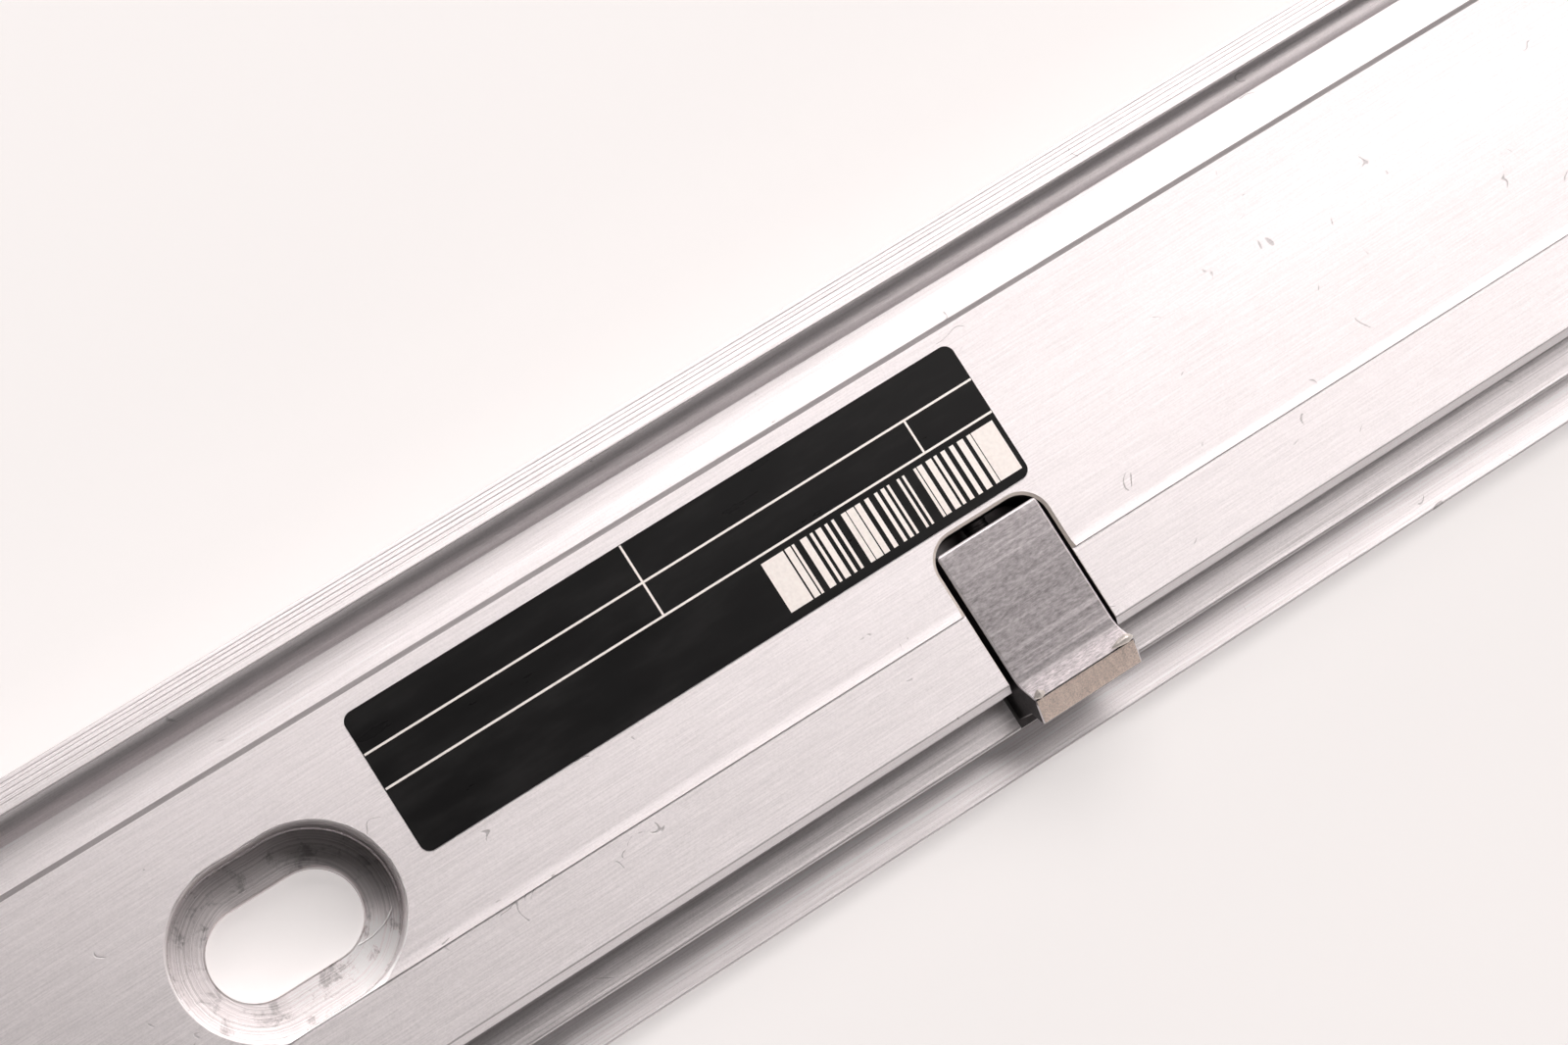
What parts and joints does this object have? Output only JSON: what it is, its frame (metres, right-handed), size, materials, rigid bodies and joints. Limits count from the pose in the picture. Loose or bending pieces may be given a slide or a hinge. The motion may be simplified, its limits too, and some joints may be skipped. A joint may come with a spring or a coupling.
{
  "type": "linear encoder mounting rail",
  "caption": "Aluminium mounting rail for a sealed linear encoder: fixed undercut lip on one edge, sprung steel claws along the other, counterbored slots and a nameplate.",
  "frame": {"origin": "middle of the back face, at half the length and half the width", "axes": "+X along the rail, +Y across it towards the fixed lip, +Z out of the bed that the scale lies on"},
  "size_m": [1.06, 0.0382, 0.0127],
  "materials": {
    "rail": "brushed along its length, clear anodised, with bright milled pockets",
    "nameplate": "glossy black film with cream lines",
    "claw": "brushed across, with polished sides and a matt sheared nose",
    "screw": "dark steel",
    "spring": "drawn spring wire"
  },
  "bodies": {
    "rail_body": {"rail": "rail", "nameplate": "nameplate", "claw_screws": "screw", "spring_1": "spring", "spring_2": "spring", "spring_3": "spring", "spring_4": "spring", "spring_5": "spring", "spring_6": "spring", "spring_7": "spring", "spring_8": "spring", "spring_9": "spring", "spring_10": "spring"},
    "claw_body_1": {"claw_1": "claw"},
    "claw_body_2": {"claw_2": "claw"},
    "claw_body_3": {"claw_3": "claw"},
    "claw_body_4": {"claw_4": "claw"},
    "claw_body_5": {"claw_5": "claw"},
    "claw_body_6": {"claw_6": "claw"},
    "claw_body_7": {"claw_7": "claw"},
    "claw_body_8": {"claw_8": "claw"},
    "claw_body_9": {"claw_9": "claw"},
    "claw_body_10": {"claw_10": "claw"}
  },
  "joints": [
    {"name": "claw_1_slide", "type": "slide", "parent": "rail_body", "child": "claw_body_1", "axis": [0, -1, 0], "range_m": [0, 0.001], "stiffness_N_per_m": 3000, "springref_m": -0.0015, "deforming": ["spring_1"]},
    {"name": "claw_2_slide", "type": "slide", "parent": "rail_body", "child": "claw_body_2", "axis": [0, -1, 0], "range_m": [0, 0.001], "stiffness_N_per_m": 3000, "springref_m": -0.0015, "deforming": ["spring_2"]},
    {"name": "claw_3_slide", "type": "slide", "parent": "rail_body", "child": "claw_body_3", "axis": [0, -1, 0], "range_m": [0, 0.001], "stiffness_N_per_m": 3000, "springref_m": -0.0015, "deforming": ["spring_3"]},
    {"name": "claw_4_slide", "type": "slide", "parent": "rail_body", "child": "claw_body_4", "axis": [0, -1, 0], "range_m": [0, 0.001], "stiffness_N_per_m": 3000, "springref_m": -0.0015, "deforming": ["spring_4"]},
    {"name": "claw_5_slide", "type": "slide", "parent": "rail_body", "child": "claw_body_5", "axis": [0, -1, 0], "range_m": [0, 0.001], "stiffness_N_per_m": 3000, "springref_m": -0.0015, "deforming": ["spring_5"]},
    {"name": "claw_6_slide", "type": "slide", "parent": "rail_body", "child": "claw_body_6", "axis": [0, -1, 0], "range_m": [0, 0.001], "stiffness_N_per_m": 3000, "springref_m": -0.0015, "deforming": ["spring_6"]},
    {"name": "claw_7_slide", "type": "slide", "parent": "rail_body", "child": "claw_body_7", "axis": [0, -1, 0], "range_m": [0, 0.001], "stiffness_N_per_m": 3000, "springref_m": -0.0015, "deforming": ["spring_7"]},
    {"name": "claw_8_slide", "type": "slide", "parent": "rail_body", "child": "claw_body_8", "axis": [0, -1, 0], "range_m": [0, 0.001], "stiffness_N_per_m": 3000, "springref_m": -0.0015, "deforming": ["spring_8"]},
    {"name": "claw_9_slide", "type": "slide", "parent": "rail_body", "child": "claw_body_9", "axis": [0, -1, 0], "range_m": [0, 0.001], "stiffness_N_per_m": 3000, "springref_m": -0.0015, "deforming": ["spring_9"]},
    {"name": "claw_10_slide", "type": "slide", "parent": "rail_body", "child": "claw_body_10", "axis": [0, -1, 0], "range_m": [0, 0.001], "stiffness_N_per_m": 3000, "springref_m": -0.0015, "deforming": ["spring_10"]}
  ]
}
